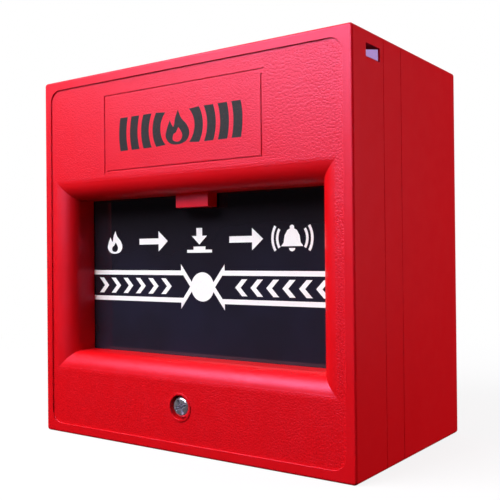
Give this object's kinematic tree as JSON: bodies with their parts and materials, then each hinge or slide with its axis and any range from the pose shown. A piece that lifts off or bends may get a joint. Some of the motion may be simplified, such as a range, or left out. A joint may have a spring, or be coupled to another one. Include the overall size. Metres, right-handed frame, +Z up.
{
  "type": "manual call point",
  "caption": "Square wall-mounted alarm call point: a red box with a hinged cover, a dark pressable pane, a microswitch, terminals and a captive cover screw.",
  "frame": {"origin": "centre of the flat back face, on the wall", "axes": "+X right as seen from the front, +Y from the front face towards the wall, +Z up"},
  "size_m": [0.086, 0.052, 0.086],
  "materials": {
    "red_shell": "satin moulded red, fine leather grain on the front panel",
    "dark_pane": "polished near-black pane with white printed marks",
    "black_plastic": "matte black moulding",
    "pale_plastic": "pale lavender-white moulding",
    "plunger_plastic": "small coloured button",
    "plated_screw": "bright zinc plating",
    "steel": "zinc plated and spring steel",
    "brass": "turned and stamped brass",
    "rubber": "soft black",
    "board": "green solder mask over glass laminate",
    "chip_plastic": "moulded black packages",
    "green_plastic": "green terminal moulding",
    "resistor_body": "lacquered tan with bands",
    "wire_jacket": "soft coloured insulation"
  },
  "bodies": {
    "base": {"back_box": "red_shell", "screw_insert": "brass", "cable_grommet": "rubber", "circuit_board": "board", "board_screws": "steel", "board_components": "chip_plastic", "terminal_block": "green_plastic", "terminal_screws": "steel", "terminal_clamps": "brass", "line_resistor": "resistor_body", "alarm_resistor": "resistor_body", "switch_bracket": "black_plastic", "bracket_screws": "steel", "switch_body": "black_plastic", "switch_lid": "black_plastic", "switch_terminals": "brass", "switch_screws": "steel", "lever_pin": "steel", "snap_blade": "brass", "switch_wires": "wire_jacket"},
    "cover": {"front_cover": "red_shell", "inner_frame": "pale_plastic", "frame_screws": "steel", "pane_springs": "steel"},
    "pane": {"call_pane": "dark_pane", "pane_carrier": "black_plastic"},
    "lever": {"switch_lever": "steel"},
    "plunger": {"switch_plunger": "plunger_plastic"},
    "screw_carriage": {"screw_washer": "black_plastic"},
    "screw": {"cover_screw": "plated_screw"}
  },
  "joints": [
    {"name": "cover_hinge", "type": "hinge", "parent": "base", "child": "cover", "pos_m": [0, -0.039, 0.043], "axis": [-1, 0, 0], "range_deg": [0, 50]},
    {"name": "pane_press", "type": "slide", "parent": "cover", "child": "pane", "axis": [0, 1, 0], "range_m": [0, 0.003], "stiffness_N_per_m": 2400, "springref_m": -0.003, "deforming": ["pane_springs"]},
    {"name": "lever_swing", "type": "hinge", "parent": "base", "child": "lever", "pos_m": [-0.008, -0.0279, -0.0038], "axis": [0, 0, 1], "range_deg": [0, 12.2]},
    {"name": "plunger_press", "type": "slide", "parent": "base", "child": "plunger", "axis": [0, 1, 0], "range_m": [0, 0.00072], "deforming": ["snap_blade"]},
    {"name": "screw_travel", "type": "slide", "parent": "cover", "child": "screw_carriage", "axis": [0, -1, 0], "range_m": [0, 0.00405]},
    {"name": "screw_turn", "type": "hinge", "parent": "screw_carriage", "child": "screw", "pos_m": [0, -0.045, -0.033], "axis": [0, -1, 0], "range_deg": [0, 3240]}
  ],
  "couplings": [
    {"joint": "lever_swing", "follows": "pane_press", "rad_per_m": 70.4},
    {"joint": "plunger_press", "follows": "pane_press", "ratio": 0.2333},
    {"joint": "screw_turn", "follows": "screw_travel", "rad_per_m": 13963}
  ]
}
